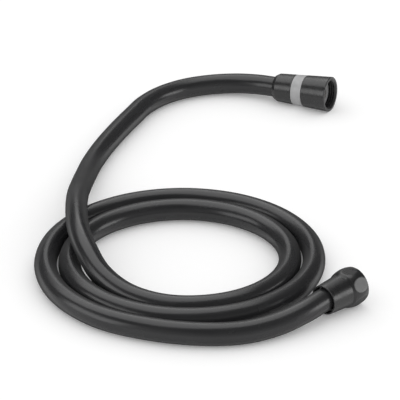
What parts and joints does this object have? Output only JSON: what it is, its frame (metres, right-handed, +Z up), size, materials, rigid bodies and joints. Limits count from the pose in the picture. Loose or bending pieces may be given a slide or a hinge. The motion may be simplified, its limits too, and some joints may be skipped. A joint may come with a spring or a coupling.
{
  "type": "shower hose",
  "caption": "Smooth black shower hose lying in loose turns, with a conical swivel nut on the handset end and a faceted nut on the outlet end.",
  "frame": {"origin": "on the floor under the middle of the part's bounding box", "axes": "+Z up from the floor, +Y away from the viewer along the part's longest side, +X to the viewer's right"},
  "size_m": [0.2031, 0.3682, 0.0295],
  "materials": {
    "hose_plastic": "smooth satin soft plastic",
    "black_metal": "satin black coating",
    "grey_band": "matte light grey plastic",
    "brass": "turned brass",
    "steel": "plain stainless steel",
    "black_rubber": "black rubber",
    "grey_rubber": "grey rubber"
  },
  "bodies": {
    "hose_and_ends": {"hose": "hose_plastic", "handset_sleeve": "black_metal", "handset_ferrule": "steel", "handset_nipple": "brass", "swivel_o_ring_1": "black_rubber", "swivel_o_ring_2": "black_rubber", "swivel_clip": "steel", "bearing_ring": "grey_band", "outlet_ferrule": "steel", "outlet_insert": "brass", "outlet_washer": "grey_rubber"},
    "swivel": {"swivel_tube": "brass", "handset_washer": "grey_rubber"},
    "conical_nut": {"handset_nut": "black_metal"},
    "faceted_nut": {"outlet_nut": "black_metal"}
  },
  "joints": [
    {"name": "handset_swivel", "type": "hinge", "parent": "hose_and_ends", "child": "swivel", "pos_m": [0.054, 0.1674, 0.00962], "axis": [0.8971, -0.4375, 0.0616], "continuous": true},
    {"name": "handset_nut_spin", "type": "hinge", "parent": "swivel", "child": "conical_nut", "pos_m": [0.054, 0.1674, 0.00962], "axis": [0.8971, -0.4375, 0.0616], "continuous": true},
    {"name": "outlet_nut_spin", "type": "hinge", "parent": "hose_and_ends", "child": "faceted_nut", "pos_m": [0.0739, -0.1437, 0.0111], "axis": [0.7071, 0.7071, 0], "continuous": true}
  ]
}
